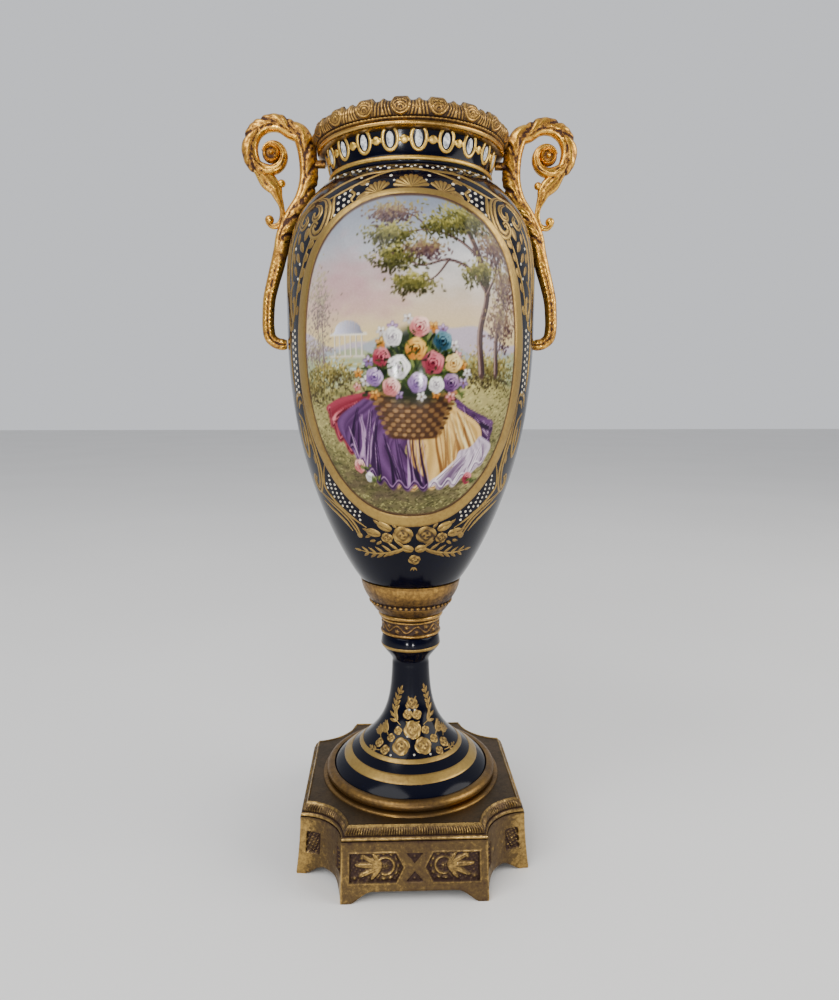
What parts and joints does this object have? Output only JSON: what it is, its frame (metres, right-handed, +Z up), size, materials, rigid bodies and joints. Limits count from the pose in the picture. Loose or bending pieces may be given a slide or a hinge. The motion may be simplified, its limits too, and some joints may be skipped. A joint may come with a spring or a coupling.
{
  "type": "mantel urn",
  "caption": "Tall footed mantel urn: an egg-shaped porcelain body with a painted oval, gilt bronze rim, scroll handles, collar and square bracket-footed plinth.",
  "frame": {"origin": "on the floor, under the middle of the plinth", "axes": "+Z up along the urn's axis; the painted front faces -Y; the handles stand out along -X and +X"},
  "size_m": [0.1966, 0.148, 0.4491],
  "materials": {
    "antique_gilt_bronze": "antiqued gilt bronze, dark in the hollows and rubbed bright on the edges",
    "bright_gilt_bronze": "bright gilt cast bronze with a dark brown patina in the hollows",
    "cobalt_porcelain": "high-gloss cobalt glaze with raised gilding and an enamelled oval"
  },
  "bodies": {
    "root": {"plinth": "antique_gilt_bronze", "porcelain_foot": "cobalt_porcelain", "collar": "antique_gilt_bronze", "vase_body": "cobalt_porcelain", "rim_mount": "antique_gilt_bronze", "handle_left": "bright_gilt_bronze", "handle_right": "bright_gilt_bronze"}
  },
  "joints": []
}
